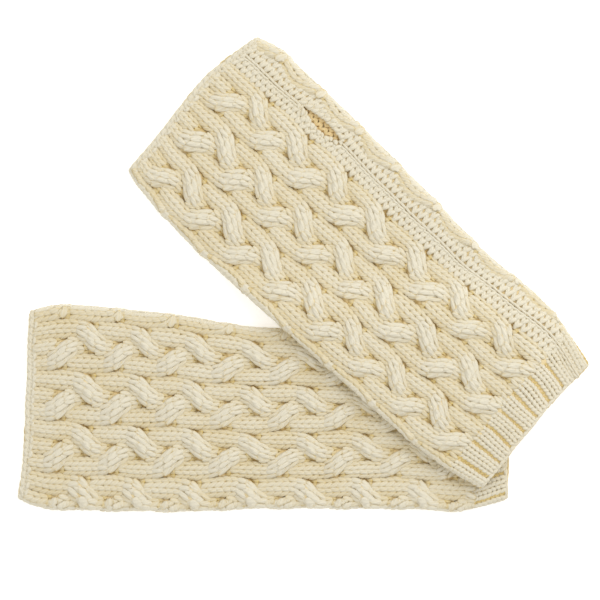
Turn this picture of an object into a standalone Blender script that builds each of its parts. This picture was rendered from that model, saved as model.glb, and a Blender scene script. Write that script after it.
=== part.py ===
"""A pair of fingerless mittens, knitted in plait cables, laid flat one across the other.

Each mitten is a flattened tube. In its own frame x runs from the finger edge to the cuff, y runs
across towards the thumb side, and z is 0 half way between its two layers, with the seam side of
the hand (the front) at +z. The upper mitten lies front up. The lower one is turned over, front
down, and the upper one drapes across it. Metres, +Z up, the surface that they lie on is z = 0.
"""

import math
from collections import namedtuple

import bmesh
import bpy
from mathutils import Matrix, Vector

MM = 0.001

# The knitted fabric.
WALL = 3.3 * MM  # one layer of plaited knit, measured between its columns
HOLLOW = 0.9 * MM  # left between the two layers of a mitten that lies flat
HALF = WALL + HOLLOW / 2  # from the middle of a mitten to either face
CROWN = 1.8 * MM  # how far a plait column stands above the lines beside it
CROWN_FULLNESS = 0.7  # 1 for a sine, less for a flatter top with steeper sides
REPEAT = 33.0 * MM  # along a column, from one crossing of the plait to the next like it
SCALLOP = 1.0 * MM  # how far the plaits push the folded edges in and out
GAP = 0.3 * MM  # between neighbouring pieces
END_GAP = 0.5 * MM  # between the body of a mitten and its finger border and cuff
STATION = 11.7 * MM  # from one section of the fabric to the next
FOLD_STEPS = 4  # round the half circle of a folded edge
SHARPEST_MITRE = 1.6  # at a sharp corner of a section, the wall is no thicker than this share
FOLD = 4.6 * MM  # how far in from a folded edge its rounding starts

# What lies along the thumb side of the front.
SEAM = 2.9 * MM  # width of the joining seam
SEAM_RIDGE = 0.7 * MM
OUTER_BAND = 9.9 * MM  # from the middle of the seam to the plait that turns round the fold
INNER_BAND = 8.2 * MM  # from the middle of the seam to the first plait column of the front
FAR_WRAP = 1.0 * MM  # how far past the far fold the back panel reaches on the front

# The thumb slit and its rolled edges.
SLIT_START = 50.0 * MM
SLIT_END = 82.0 * MM
SLIT_ASIDE = 1.6 * MM  # the slit lies this much nearer the fold than the seam does
SLIT_HALF_WIDTH = 3.4 * MM
SLIT_STATION = 4.0 * MM
LIP_RADIUS = 1.3 * MM
LIP_PROUD = 0.5 * MM

# The two ends.
BORDER = 4.8 * MM  # cast-off edge round the finger opening
BORDER_WALL = 2.8 * MM
CUFF = 22.5 * MM
RIBS = 8  # across one face of the cuff
RIB_HEIGHT = 1.1 * MM

# How the upper mitten drapes over the lower one.
RISE = 2 * HALF + CROWN + GAP
SHOULDER = 5.0 * MM  # it stays up this far past the lower one's edge
DROP = 36.0 * MM  # and comes down to the surface over this much more

Row = namedtuple("Row", "along thumb_edge seam far_edge")  # millimetres, in the mitten's frame
Slant = namedtuple("Slant", "across finger_end cuff_end")  # how far each end is shifted there
Mitten = namedtuple(
    "Mitten", "name length outline slants shares_across front_up place turn drapes"
)

UPPER = Mitten(
    name="upper",
    length=283 * MM,
    outline=[
        Row(0, 56.0, 41.0, -57.0),
        Row(12, 60.0, 41.5, -60.0),
        Row(50, 60.0, 42.5, -63.0),
        Row(90, 59.5, 42.0, -63.0),
        Row(147, 57.5, 40.5, -61.5),
        Row(186, 55.5, 39.5, -60.5),
        Row(238, 57.5, 43.0, -58.5),
        Row(262, 54.0, 42.5, -55.5),
        Row(283, 49.5, 38.0, -50.5),
    ],
    slants=[
        Slant(-60, 3.2, 5.5),
        Slant(-20, 1.8, 2.0),
        Slant(15, -1.0, 0.0),
        Slant(45, 2.6, 0.8),
        Slant(60, 6.5, 0.5),
    ],
    shares_across=[],
    front_up=True,
    place=(-69.5 * MM, 105.7 * MM),
    turn=math.radians(-43.2),
    drapes=True,
)

LOWER = Mitten(
    name="lower",
    length=289 * MM,
    outline=[
        Row(0, 55.5, 40.0, -59.5),
        Row(14, 60.0, 41.0, -62.5),
        Row(45, 61.5, 42.0, -61.5),
        Row(95, 61.5, 42.0, -56.5),
        Row(130, 60.0, 41.0, -51.0),
        Row(175, 59.0, 40.5, -50.0),
        Row(230, 59.0, 40.5, -50.0),
        Row(262, 59.5, 40.5, -48.5),
        Row(289, 52.5, 38.0, -44.0),
    ],
    slants=[
        Slant(-60, 3.0, 0.0),
        Slant(0, 0.5, 0.0),
        Slant(35, -0.8, 0.3),
        Slant(56, -3.4, 0.6),
    ],
    shares_across=[0.079, 0.323, 0.575, 0.827],  # its column lines, from far to thumb edge
    front_up=False,
    place=(-167.1 * MM, -79.5 * MM),
    turn=math.radians(-0.5),
    drapes=False,
)

CREAM = (0.72, 0.63, 0.45)
DEEP_CREAM = (0.66, 0.56, 0.38)
WOOL_ROUGHNESS = 0.85


def smooth(t):
    """0 before 0, 1 after 1, and an even S between."""
    t = min(max(t, 0.0), 1.0)
    return t * t * (3 - 2 * t)


def between(rows, where, column):
    """A column of a table, in millimetres there, at a place between its rows, on a smooth curve."""
    keys = [row[0] for row in rows]
    values = [getattr(row, column) for row in rows]
    where = min(max(where / MM, keys[0]), keys[-1])
    i = max(k for k in range(len(keys) - 1) if keys[k] <= where)
    width = keys[i + 1] - keys[i]
    t = (where - keys[i]) / width
    slopes = []
    for k in (i, i + 1):
        before, after = max(k - 1, 0), min(k + 1, len(keys) - 1)
        slopes.append((values[after] - values[before]) / (keys[after] - keys[before]) * width)
    return MM * (
        values[i] * (1 + 2 * t) * (1 - t) ** 2
        + slopes[0] * t * (1 - t) ** 2
        + values[i + 1] * t * t * (3 - 2 * t)
        + slopes[1] * t * t * (t - 1)
    )


# The lines that run along a mitten. Each is a place across it, at a place along it.


def thumb_edge(mitten, along):
    wave = SCALLOP * math.sin(2 * math.pi * along / REPEAT)
    return between(mitten.outline, along, "thumb_edge") + wave


def far_edge(mitten, along):
    wave = SCALLOP * math.cos(2 * math.pi * along / REPEAT)
    return between(mitten.outline, along, "far_edge") - wave


def seam_line(mitten, along):
    return between(mitten.outline, along, "seam")


def rope_line(mitten, along):
    """Where the plait that turns round the thumb-side fold meets the outer purl band."""
    fold_start = between(mitten.outline, along, "thumb_edge") - SCALLOP - FOLD
    return min(seam_line(mitten, along) + OUTER_BAND, fold_start - GAP)


def inner_line(mitten, along):
    """Where the inner purl band meets the front panel."""
    return seam_line(mitten, along) - INNER_BAND


def far_line(mitten, along):
    """Where the back panel, come round the far fold, meets the front panel."""
    return far_edge(mitten, along) + FAR_WRAP + FOLD


def slit_line(mitten, along):
    return seam_line(mitten, along) + SLIT_ASIDE


def slit_opening(along):
    """Half the width of the thumb slit."""
    t = (along - SLIT_START) / (SLIT_END - SLIT_START)
    if not 0 < t < 1:
        return 0.0
    return SLIT_HALF_WIDTH * math.sin(math.pi * t)


def slit_clearance(along):
    """How far from the slit's middle line the bands keep: the opening, its rolled edge, a gap."""
    before = smooth((along - SLIT_START) / SLIT_STATION + 1)
    after = smooth((SLIT_END - along) / SLIT_STATION + 1)
    return before * after * (slit_opening(along) + 2 * LIP_RADIUS + 2.5 * GAP)


# Heights above the middle of the mitten, on the face that shows.


def column_lines(mitten, along):
    """The lines between the plait columns on the face that shows, with one past each fold."""
    thumb, far = thumb_edge(mitten, along), far_edge(mitten, along)
    if mitten.front_up:
        first, last = far_line(mitten, along), inner_line(mitten, along)
        lines = [first + (last - first) * k / 3 for k in range(4)]
        column = lines[1] - lines[0]
        rope = rope_line(mitten, along)
        return [first - column] + lines + [rope, rope + column]
    lines = [far + (thumb - far) * share for share in mitten.shares_across]
    column = lines[1] - lines[0]
    return [lines[0] - column] + lines + [lines[-1] + column]


def crown(mitten, along, across):
    """How far a plait column stands up at a place across it. The purl bands lie flat."""
    if mitten.front_up and inner_line(mitten, along) <= across <= rope_line(mitten, along):
        return 0.0
    lines = column_lines(mitten, along)
    low, high = next(
        (pair for pair in zip(lines, lines[1:]) if across < pair[1]), lines[-2:]
    )
    t = min(max((across - low) / (high - low), 0.0), 1.0)
    return CROWN * math.sin(math.pi * t) ** CROWN_FULLNESS


def face_height(mitten, along, across, front):
    """Half the mitten's thickness, with the plait columns on the side that shows."""
    if front != mitten.front_up:
        return HALF
    return HALF + crown(mitten, along, across)


# The drape, and from a mitten's own measures to a point.


def frame_of(mitten):
    """Where the mitten's own frame stands: its finger edge, turned, and turned over if need be."""
    over = Matrix.Identity(4) if mitten.front_up else Matrix.Rotation(math.pi, 4, "X")
    x, y = mitten.place
    return Matrix.Translation((x, y, HALF)) @ Matrix.Rotation(mitten.turn, 4, "Z") @ over


LOWER_FROM_WORLD = frame_of(LOWER).inverted()


def lift(point):
    """How far the lower mitten holds the fabric up over a point of the surface."""
    spot = LOWER_FROM_WORLD @ point
    middle = min(max(spot.x, 0.0), LOWER.length)
    thumb, far = thumb_edge(LOWER, middle), far_edge(LOWER, middle)
    outside = Vector((spot.x - middle, max(spot.y - thumb, far - spot.y, 0.0)))
    return RISE * (1 - smooth((outside.length - SHOULDER) / DROP))


def place_point(mitten, along, across, height):
    """A point of the mitten in its own frame, height above the middle of its draped fabric."""
    share = along / mitten.length
    start = between(mitten.slants, across, "finger_end")
    end = mitten.length + between(mitten.slants, across, "cuff_end")
    flat = Vector((start + (end - start) * share, across, 0.0))
    if not mitten.drapes:
        return flat + Vector((0, 0, height))
    frame, step = frame_of(mitten), 1 * MM
    here = lift(frame @ flat)
    ahead = lift(frame @ (flat + Vector((step, 0, 0))))
    aside = lift(frame @ (flat + Vector((0, step, 0))))
    up = Vector((here - ahead, here - aside, step)).normalized()
    return flat + Vector((0, 0, here)) + up * height


# Pieces.


def new_material(name, colour):
    material = bpy.data.materials.new(name)
    material.use_nodes = True
    shader = material.node_tree.nodes["Principled BSDF"]
    shader.inputs["Base Color"].default_value = (*colour, 1)
    shader.inputs["Roughness"].default_value = WOOL_ROUGHNESS
    shader.inputs["Metallic"].default_value = 0.0
    return material


def finish_piece(mitten, name, data, colour):
    """The object of a piece, in its mitten's frame, with its own material."""
    piece = bpy.data.objects.new(f"{mitten.name}_{name}", data)
    data.materials.append(new_material(piece.name, colour))
    collection.objects.link(piece)
    piece.parent = frames[mitten.name]
    return piece


def inward(section, wall, closed):
    """The inner face of a section: each point moved in by the wall, square to the outer face."""
    last = len(section) - 1
    inner = []
    for k, (across, height) in enumerate(section):
        before = section[k - 1] if k else (section[last] if closed else section[0])
        after = section[(k + 1) % (last + 1)] if closed or k < last else section[last]
        to_here = Vector((across - before[0], height - before[1]))
        from_here = Vector((after[0] - across, after[1] - height))
        sides = [side.normalized() for side in (to_here, from_here) if side.length]
        way = sum(sides, Vector((0, 0))).normalized()
        mitre = min(1 / max(way.dot(sides[0]), MM), SHARPEST_MITRE)
        inner.append((across + way.y * wall * mitre, height - way.x * wall * mitre))
    return inner


def knitted_piece(mitten, name, places, section, wall, colour, closed=False):
    """A wall of fabric lofted through sections of (across, height), one at each place along.

    A section runs with the outer face on its left. A closed one goes all the way round.
    """
    mesh = bmesh.new()
    outer, inner = [], []
    for along in places:
        skin = section(along)
        for rows, spots in ((outer, skin), (inner, inward(skin, wall, closed))):
            points = [place_point(mitten, along, *spot) for spot in spots]
            rows.append([mesh.verts.new(point) for point in points])
    count = len(outer[0])
    steps = [(k, (k + 1) % count) for k in range(count if closed else count - 1)]
    for i in range(len(places) - 1):
        for k, m in steps:
            mesh.faces.new((outer[i][k], outer[i + 1][k], outer[i + 1][m], outer[i][m]))
            mesh.faces.new((inner[i][m], inner[i + 1][m], inner[i + 1][k], inner[i][k]))
        if not closed:
            mesh.faces.new((outer[i][0], inner[i][0], inner[i + 1][0], outer[i + 1][0]))
            mesh.faces.new((outer[i + 1][-1], inner[i + 1][-1], inner[i][-1], outer[i][-1]))
    for k, m in steps:
        mesh.faces.new((outer[0][k], outer[0][m], inner[0][m], inner[0][k]))
        mesh.faces.new((outer[-1][m], outer[-1][k], inner[-1][k], inner[-1][m]))
    data = bpy.data.meshes.new(f"{mitten.name}_{name}")
    mesh.to_mesh(data)
    mesh.free()
    data.shade_smooth()
    data.set_sharp_from_angle(angle=math.radians(50))
    return finish_piece(mitten, name, data, colour)


def evenly(start, end, step=STATION):
    """Places from start to end, no more than step apart."""
    count = max(1, math.ceil((end - start) / step - 1e-6))
    return [start + (end - start) * k / count for k in range(count + 1)]


def face_points(mitten, along, start, end, count, front):
    """Points over one face from start to end across, on its plait columns."""
    spots = [start + (end - start) * k / count for k in range(count + 1)]
    return [
        (across, face_height(mitten, along, across, front) * (1 if front else -1))
        for across in spots
    ]


def fold_points(mitten, along, thumb_side, heights):
    """Round a folded edge, from the front to the back at the thumb side, or back to front.

    heights are the two faces' heights where the fold starts, the front's first.
    """
    if thumb_side:
        start, way = thumb_edge(mitten, along) - FOLD, 1
    else:
        start, way = far_edge(mitten, along) + FOLD, -1
    points = []
    for k in range(1, FOLD_STEPS):
        angle = way * math.pi * (0.5 - k / FOLD_STEPS)
        tall = heights[0] if angle > 0 else heights[1]
        points.append((start + way * FOLD * math.cos(angle), tall * math.sin(angle)))
    return points


def tube_section(mitten, along, front_start, front_end, counts):
    """From front_start on the front, round the thumb fold, over the back, round the far fold,
    to front_end on the front. counts are the steps on the front, on the back and on the front."""
    thumb = thumb_edge(mitten, along) - FOLD
    far = far_edge(mitten, along) + FOLD
    thumb_heights = [face_height(mitten, along, thumb, front) for front in (True, False)]
    far_heights = [face_height(mitten, along, far, front) for front in (True, False)]
    return (
        face_points(mitten, along, front_start, thumb, counts[0], True)
        + fold_points(mitten, along, True, thumb_heights)
        + face_points(mitten, along, thumb, far, counts[1], False)
        + fold_points(mitten, along, False, far_heights)
        + face_points(mitten, along, far, front_end, counts[2], True)
    )


def back_steps(mitten):
    """Steps across the back: enough for its plait columns where it shows."""
    return 9 if mitten.front_up else 16


def body_ends(mitten):
    """Where the body of a mitten starts and ends, clear of its finger border and cuff."""
    return BORDER + END_GAP, mitten.length - CUFF - END_GAP


def make_back_panel(mitten):
    steps = back_steps(mitten)

    def section(along):
        start = rope_line(mitten, along) + GAP / 2
        end = far_line(mitten, along) - GAP / 2
        return tube_section(mitten, along, start, end, (1, steps, 1))

    knitted_piece(mitten, "back_panel", evenly(*body_ends(mitten)), section, WALL, CREAM)


def make_front_panel(mitten):
    steps = 12 if mitten.front_up else 6

    def section(along):
        start = far_line(mitten, along) + GAP / 2
        end = inner_line(mitten, along) - GAP / 2
        return face_points(mitten, along, start, end, steps, True)

    knitted_piece(mitten, "front_panel", evenly(*body_ends(mitten)), section, WALL, CREAM)


def places_round_slit(mitten):
    """Places along the body before, beside and after the thumb slit."""
    first, last = body_ends(mitten)
    return (
        evenly(first, SLIT_START - SLIT_STATION),
        evenly(SLIT_START, SLIT_END, SLIT_STATION),
        evenly(SLIT_END + SLIT_STATION, last),
    )


def make_bands(mitten):
    """The two purl bands beside the seam, each giving way to the thumb slit."""

    def outer(along):
        clear = slit_line(mitten, along) + slit_clearance(along)
        start = max(seam_line(mitten, along) + SEAM / 2 + GAP, clear)
        return [(start, HALF), (rope_line(mitten, along) - GAP / 2, HALF)]

    def inner(along):
        clear = slit_line(mitten, along) - slit_clearance(along)
        end = min(seam_line(mitten, along) - SEAM / 2 - GAP, clear)
        return [(inner_line(mitten, along) + GAP / 2, HALF), (end, HALF)]

    before, beside, after = places_round_slit(mitten)
    places = before + beside + after
    knitted_piece(mitten, "outer_band", places, outer, WALL, DEEP_CREAM)
    knitted_piece(mitten, "inner_band", places, inner, WALL, DEEP_CREAM)


def make_seams(mitten):
    """The joining seam, on either side of the thumb slit, a low ridge where the front shows."""
    ridge = SEAM_RIDGE if mitten.front_up else 0.0

    def section(along):
        middle = seam_line(mitten, along)
        return [
            (middle - SEAM / 2, HALF),
            (middle, HALF + ridge),
            (middle + SEAM / 2, HALF),
        ]

    before, _, after = places_round_slit(mitten)
    stretches = {
        "seam_to_fingers": before + [SLIT_START - GAP],
        "seam_to_cuff": [SLIT_END + GAP] + after,
    }
    for name, places in stretches.items():
        knitted_piece(mitten, name, places, section, WALL, DEEP_CREAM)


def make_lips(mitten):
    """The rolled edges of the thumb slit: two round beads that part along it."""
    proud = LIP_PROUD if mitten.front_up else 0.0
    _, beside, _ = places_round_slit(mitten)
    for name, side in {"outer_lip": 1, "inner_lip": -1}.items():
        route = bpy.data.curves.new(f"{mitten.name}_{name}", "CURVE")
        route.dimensions = "3D"
        route.bevel_depth = LIP_RADIUS
        route.bevel_resolution = 2
        route.use_fill_caps = True
        line = route.splines.new("POLY")
        places = [SLIT_START + 2 * GAP] + beside[1:-1] + [SLIT_END - 2 * GAP]
        line.points.add(len(places) - 1)
        for point, along in zip(line.points, places):
            aside = slit_opening(along) + LIP_RADIUS + GAP / 2
            across = slit_line(mitten, along) + side * aside
            spot = place_point(mitten, along, across, HALF + proud - LIP_RADIUS)
            point.co = (*spot, 1)
        finish_piece(mitten, name, route, CREAM)


def make_finger_border(mitten):
    def section(along):
        middle = seam_line(mitten, along)
        counts = (1, back_steps(mitten), 10)
        return tube_section(mitten, along, middle, middle, counts)[:-1]

    places = [0, BORDER]
    knitted_piece(
        mitten, "finger_border", places, section, BORDER_WALL, DEEP_CREAM, closed=True
    )


def make_rib_cuff(mitten):
    """A short tube whose ribs stand up on the side that shows."""
    places = evenly(mitten.length - CUFF, mitten.length)

    def section(along):
        thumb = thumb_edge(mitten, along) - FOLD
        far = far_edge(mitten, along) + FOLD
        faces = {}
        for front in (True, False):
            shows = front == mitten.front_up
            count = 2 * RIBS if shows else RIBS
            faces[front] = []
            for k in range(count + 1):
                up = RIB_HEIGHT * (k % 2) if shows else 0.0
                across = far + (thumb - far) * k / count
                faces[front].append((across, (HALF + up) * (1 if front else -1)))
        return (
            faces[True][RIBS:]
            + fold_points(mitten, along, True, (HALF, HALF))
            + faces[False][::-1]
            + fold_points(mitten, along, False, (HALF, HALF))
            + faces[True][:RIBS]
        )

    knitted_piece(mitten, "rib_cuff", places, section, WALL, CREAM, closed=True)


def make_mitten(mitten):
    stand = bpy.data.objects.new(f"{mitten.name}_mitten", None)
    collection.objects.link(stand)
    stand.matrix_world = frame_of(mitten)
    frames[mitten.name] = stand
    make_back_panel(mitten)
    make_front_panel(mitten)
    make_bands(mitten)
    make_seams(mitten)
    make_lips(mitten)
    make_finger_border(mitten)
    make_rib_cuff(mitten)


for old in list(bpy.data.objects):
    bpy.data.objects.remove(old)
collection = bpy.data.collections.new("fingerless_mittens")
bpy.context.scene.collection.children.link(collection)
frames = {}
make_mitten(LOWER)
make_mitten(UPPER)
bpy.context.view_layer.update()
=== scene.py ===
# %% [markdown]
# # A pair of fingerless mittens in plait cables
#
# Two knitted tubes lie flat on a pale table, one across the other. Each was knitted as one flat
# panel of plaits, from a ribbed cuff up to the fingers, then folded round and joined along the
# thumb side, with a slit left for the thumb.
#
# This notebook builds them the way that a knitter would count them: it first works out where
# every stitch lies on the folded tube, and then Geometry Nodes lay a short piece of thick yarn
# for each half stitch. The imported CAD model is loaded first, because it fixes where everything is.

import math
from types import SimpleNamespace

import bmesh
import bpy
import numpy as np
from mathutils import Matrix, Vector


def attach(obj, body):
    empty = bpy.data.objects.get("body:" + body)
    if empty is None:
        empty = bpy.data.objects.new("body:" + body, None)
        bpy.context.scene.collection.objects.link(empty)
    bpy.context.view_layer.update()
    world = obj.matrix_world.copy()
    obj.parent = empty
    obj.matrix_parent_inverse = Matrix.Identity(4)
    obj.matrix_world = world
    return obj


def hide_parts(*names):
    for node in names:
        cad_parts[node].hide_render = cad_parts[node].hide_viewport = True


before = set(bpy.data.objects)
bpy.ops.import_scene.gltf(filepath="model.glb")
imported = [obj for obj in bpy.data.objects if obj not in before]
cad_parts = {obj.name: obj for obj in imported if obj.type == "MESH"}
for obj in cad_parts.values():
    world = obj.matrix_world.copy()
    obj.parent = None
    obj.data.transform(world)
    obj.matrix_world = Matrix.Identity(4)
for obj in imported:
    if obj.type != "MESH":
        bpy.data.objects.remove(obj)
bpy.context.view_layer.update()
MM = 0.001


# %% [markdown]
# ## The measures of the fabric
#
# The CAD model and this file share one set of measures, in millimetres. A mitten's own frame has
# `along` from the finger edge to the cuff and `across` towards the thumb side. Tables give the
# two folded edges and the seam every few centimetres, because a soft thing laid by hand is
# never quite straight.

# %% Measures shared with the CAD model
WALL = 3.3
HOLLOW = 0.9
HALF = WALL + HOLLOW / 2
CROWN = 1.8
GAP = 0.3
FOLD = 4.6
OUTER_BAND = 9.9
INNER_BAND = 8.2
SLIT_START = 50.0
SLIT_END = 82.0
SLIT_ASIDE = 1.6
SLIT_HALF_WIDTH = 3.4
BORDER = 4.8
CUFF = 22.5
RISE = 2 * HALF + CROWN + GAP
SHOULDER = 5.0
DROP = 36.0
MIDWAY = 140.0  # where the widths are measured

upper = SimpleNamespace(
    name="upper",
    length=283.0,
    place=(-69.5, 105.7),
    turn=math.radians(-43.2),
    front_up=True,
    drapes=True,
    outline=np.array([  # along, thumb edge, seam, far edge
        (0, 56.0, 41.0, -57.0), (12, 60.0, 41.5, -60.0), (50, 60.0, 42.5, -63.0),
        (90, 59.5, 42.0, -63.0), (147, 57.5, 40.5, -61.5), (186, 55.5, 39.5, -60.5),
        (238, 57.5, 43.0, -58.5), (262, 54.0, 42.5, -55.5), (283, 49.5, 38.0, -50.5),
    ]),
    slants=np.array([  # across, shift of the finger end, shift of the cuff end
        (-60, 3.2, 5.5), (-20, 1.8, 2.0), (15, -1.0, 0.0), (45, 2.6, 0.8), (60, 6.5, 0.5),
    ]),
    crossings=np.array([  # where the plait crosses, from the thumb side first, then by turns
        2.5, 17.4, 35.8, 51.3, 66.8, 84.8, 98.7, 117.1, 132.0, 151.9,
        164.9, 184.8, 200.3, 217.7, 233.6, 251.6, 267.5, 284.0,
    ]),
)
lower = SimpleNamespace(
    name="lower",
    length=289.0,
    place=(-167.1, -79.5),
    turn=math.radians(-0.5),
    front_up=False,
    drapes=False,
    outline=np.array([
        (0, 55.5, 40.0, -59.5), (14, 60.0, 41.0, -62.5), (45, 61.5, 42.0, -61.5),
        (95, 61.5, 42.0, -56.5), (130, 60.0, 41.0, -51.0), (175, 59.0, 40.5, -50.0),
        (230, 59.0, 40.5, -50.0), (262, 59.5, 40.5, -48.5), (289, 52.5, 38.0, -44.0),
    ]),
    slants=np.array([(-60, 3.0, 0.0), (0, 0.5, 0.0), (35, -0.8, 0.3), (56, -3.4, 0.6)]),
    shares=[0.079, 0.323, 0.575, 0.827],  # its plait lines on the side that shows, far to thumb
    crossings=np.array([
        3.0, 20.0, 36.5, 53.5, 69.0, 86.0, 102.5, 119.5, 137.0, 154.0,
        171.0, 188.0, 204.5, 221.5, 238.0, 255.0, 272.0, 290.0,
    ]),
)
print("length of each mitten in mm:", upper.length, lower.length)

# %% [markdown]
# ## From the panel to the table
#
# A place on the fabric is three numbers: `along` the mitten, `around` the tube, and `height`
# above its outer face. `around` runs over the front from the far fold to the thumb fold, then
# round that fold, back over the other side, and round the far fold to where it began.
# NumPy moves whole rows of places at a time, which matters with sixteen thousand pieces of yarn.

# %% Reading a table on a smooth curve
def between(table, where, column):
    """A column of a table at places between its rows, on a smooth curve through them."""
    keys, values = table[:, 0].astype(float), table[:, column]
    where = np.clip(where, keys[0], keys[-1])
    i = np.clip(np.searchsorted(keys, where, side="right") - 1, 0, len(keys) - 2)
    rows = np.arange(len(keys))
    before, after = np.maximum(rows - 1, 0), np.minimum(rows + 1, rows[-1])
    slopes = (values[after] - values[before]) / (keys[after] - keys[before])
    width = keys[i + 1] - keys[i]
    t = (where - keys[i]) / width
    return (
        values[i] * (1 + 2 * t) * (1 - t) ** 2
        + slopes[i] * width * t * (1 - t) ** 2
        + values[i + 1] * t * t * (3 - 2 * t)
        + slopes[i + 1] * width * t * t * (t - 1)
    )


def smooth(t):
    """0 before 0, 1 after 1, and an even S between."""
    t = np.clip(t, 0.0, 1.0)
    return t * t * (3 - 2 * t)


def thumb_edge(mitten, along):
    return between(mitten.outline, along, 1)


def seam_line(mitten, along):
    return between(mitten.outline, along, 2)


def far_edge(mitten, along):
    return between(mitten.outline, along, 3)


midway_width = thumb_edge(upper, MIDWAY) - far_edge(upper, MIDWAY)
print("width of the upper mitten half way along:", round(float(midway_width), 1))

# %% Round the tube
FOLD_ARC = math.pi * (FOLD + HALF) / 2


def fold_starts(mitten, along):
    """Where the far and the thumb fold start, across, and the length all round there."""
    far, thumb = far_edge(mitten, along) + FOLD, thumb_edge(mitten, along) - FOLD
    return far, thumb, 2 * (thumb - far + FOLD_ARC)


def round_tube(mitten, along, around):
    """Both fold starts, the flat width, the way round from the start of the front, and three tests.

    They say that a place is on the front, on the thumb fold or on the other side, the first that
    holds. The rest is on the far fold.
    """
    far, thumb, whole = fold_starts(mitten, along)
    flat = thumb - far
    run = np.mod(around - far, whole)
    return far, thumb, flat, run, [run < flat, run < flat + FOLD_ARC, run < 2 * flat + FOLD_ARC]


def section(mitten, along, around, height):
    """(across, level) of places on the folded tube, level 0 being half way between its layers."""
    far, thumb, flat, run, parts = round_tube(mitten, along, around)
    wide, tall = FOLD + height, HALF + height
    thumb_turn = math.pi * (0.5 - (run - flat) / FOLD_ARC)
    far_turn = math.pi * (-0.5 - (run - 2 * flat - FOLD_ARC) / FOLD_ARC)
    across = np.select(
        parts,
        [far + run, thumb + wide * np.cos(thumb_turn), thumb - (run - flat - FOLD_ARC)],
        far + wide * np.cos(far_turn),
    )
    level = np.select(parts, [tall, tall * np.sin(thumb_turn), -tall], tall * np.sin(far_turn))
    return across, level


def daylight(mitten, along, around):
    """1 on the side that lies up, 0 on the side that rests on something, and between on a fold."""
    flat, run, parts = round_tube(mitten, along, around)[2:]
    leaving = 1 - smooth((run - flat) / FOLD_ARC)
    front = np.select(parts, [1.0, leaving, 0.0], smooth((run - 2 * flat - FOLD_ARC) / FOLD_ARC))
    return front if mitten.front_up else 1 - front


# %% The drape, and places on the table
def to_table(mitten, x, y):
    """From a mitten's own frame to the table, seen from above."""
    if not mitten.front_up:
        y = -y
    turn = mitten.turn
    return (
        mitten.place[0] + x * math.cos(turn) - y * math.sin(turn),
        mitten.place[1] + x * math.sin(turn) + y * math.cos(turn),
    )


def from_table(mitten, x, y):
    """From the table back to a mitten's own frame."""
    x, y = x - mitten.place[0], y - mitten.place[1]
    turn = mitten.turn
    x, y = x * math.cos(turn) + y * math.sin(turn), y * math.cos(turn) - x * math.sin(turn)
    return x, (y if mitten.front_up else -y)


def beyond(mitten, x, y):
    """How far places in a mitten's own frame lie outside its outline."""
    middle = np.clip(x, 0.0, mitten.length)
    aside = np.maximum(y - thumb_edge(mitten, middle), far_edge(mitten, middle) - y)
    return np.hypot(x - middle, np.maximum(aside, 0.0))


def lift(x, y):
    """How far the lower mitten holds the upper one's fabric up, at places in the upper's frame."""
    away = beyond(lower, *from_table(lower, *to_table(upper, x, y)))
    return RISE * (1 - smooth((away - SHOULDER) / DROP))


def wander(mitten, along, around):
    """Small shifts along and round the tube: no row of knitting is quite even."""
    turn = 2 * math.pi * (around - seam_line(mitten, along)) / fold_starts(mitten, along)[2]
    phase = 1.0 if mitten.front_up else 4.0
    ahead = 0.40 * np.sin(along / 12.0 + 2 * turn + phase) + 0.28 * np.sin(along / 5.7 - 7 * turn)
    aside = 0.45 * np.sin(along / 14.0 + 3 * turn + 2 * phase)
    aside = aside + 0.25 * np.sin(along / 6.3 - 5 * turn)
    return along + ahead, around + aside


def point(mitten, along, around, height):
    """Places on the fabric as points of the scene, in millimetres, one row each."""
    places = (np.asarray(values, float) for values in (along, around, height))
    along, around, height = np.broadcast_arrays(*places)
    along, around = wander(mitten, along, around)
    across, level = section(mitten, along, around, height)
    start = between(mitten.slants, across, 1)
    end = mitten.length + between(mitten.slants, across, 2)
    x = start + (end - start) * along / mitten.length
    y, z = across, level
    if mitten.drapes:
        here = lift(x, y)
        slope_x, slope_y = here - lift(x + 1, y), here - lift(x, y + 1)
        size = np.sqrt(slope_x**2 + slope_y**2 + 1)
        x, y, z = x + slope_x / size * level, y + slope_y / size * level, here + level / size
    if not mitten.front_up:
        z = -z
    px, py = to_table(mitten, x, y)
    return np.stack([px, py, z + HALF], -1)


def outward(mitten, along, around, height):
    """Places on the fabric, and the way half a millimetre out of it there."""
    here = point(mitten, along, around, height)
    return here, point(mitten, along, around, height + 0.5) - here


print("top of the upper mitten where it crosses:", point(upper, [150.0], [0.0], [0.0]).round(1))

# %% [markdown]
# ## The plait chart
#
# A plait column is three strands, each two stitches wide. By turns, the strand at one side of the
# column passes over the middle one, and then the strand at the other side does. So each strand
# wanders: over, under, rest, over, under, rest. The chart is worked out once, and it answers two
# questions for any place: how far across its column a strand lies, and how high it rides.

# %% The columns round the tube
COLUMNS = 7
SCALLOP = 1.7  # the edge of the column beside the outer band goes in and out by this much
OVERLAP = 1.3  # and that column covers so much of the band
TUCK = 1.0  # the line of a column keeps this far from the start of a fold


def lines_round(mitten, along):
    """The eight lines between the seven plait columns, as distances round the tube, falling."""
    far, thumb, whole = fold_starts(mitten, along)
    seam = seam_line(mitten, along)
    first = seam - INNER_BAND
    turns = np.interp(along, mitten.crossings, np.arange(len(mitten.crossings)))
    rope = np.minimum(seam + OUTER_BAND - OVERLAP, thumb - GAP - TUCK)
    last = rope - SCALLOP * np.cos(math.pi * turns) - whole
    if mitten.front_up:
        third = far + TUCK
        fixed = [third + (last - third) * k / 4 for k in range(4)]
    else:
        width = thumb_edge(mitten, along) - far_edge(mitten, along)
        shown = [far_edge(mitten, along) + width * share for share in mitten.shares]
        fixed = [2 * far - FOLD_ARC - across for across in shown]
    start = [first + (fixed[0] - first) * k / 3 for k in range(3)]
    return np.stack(start + fixed + [last])


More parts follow.
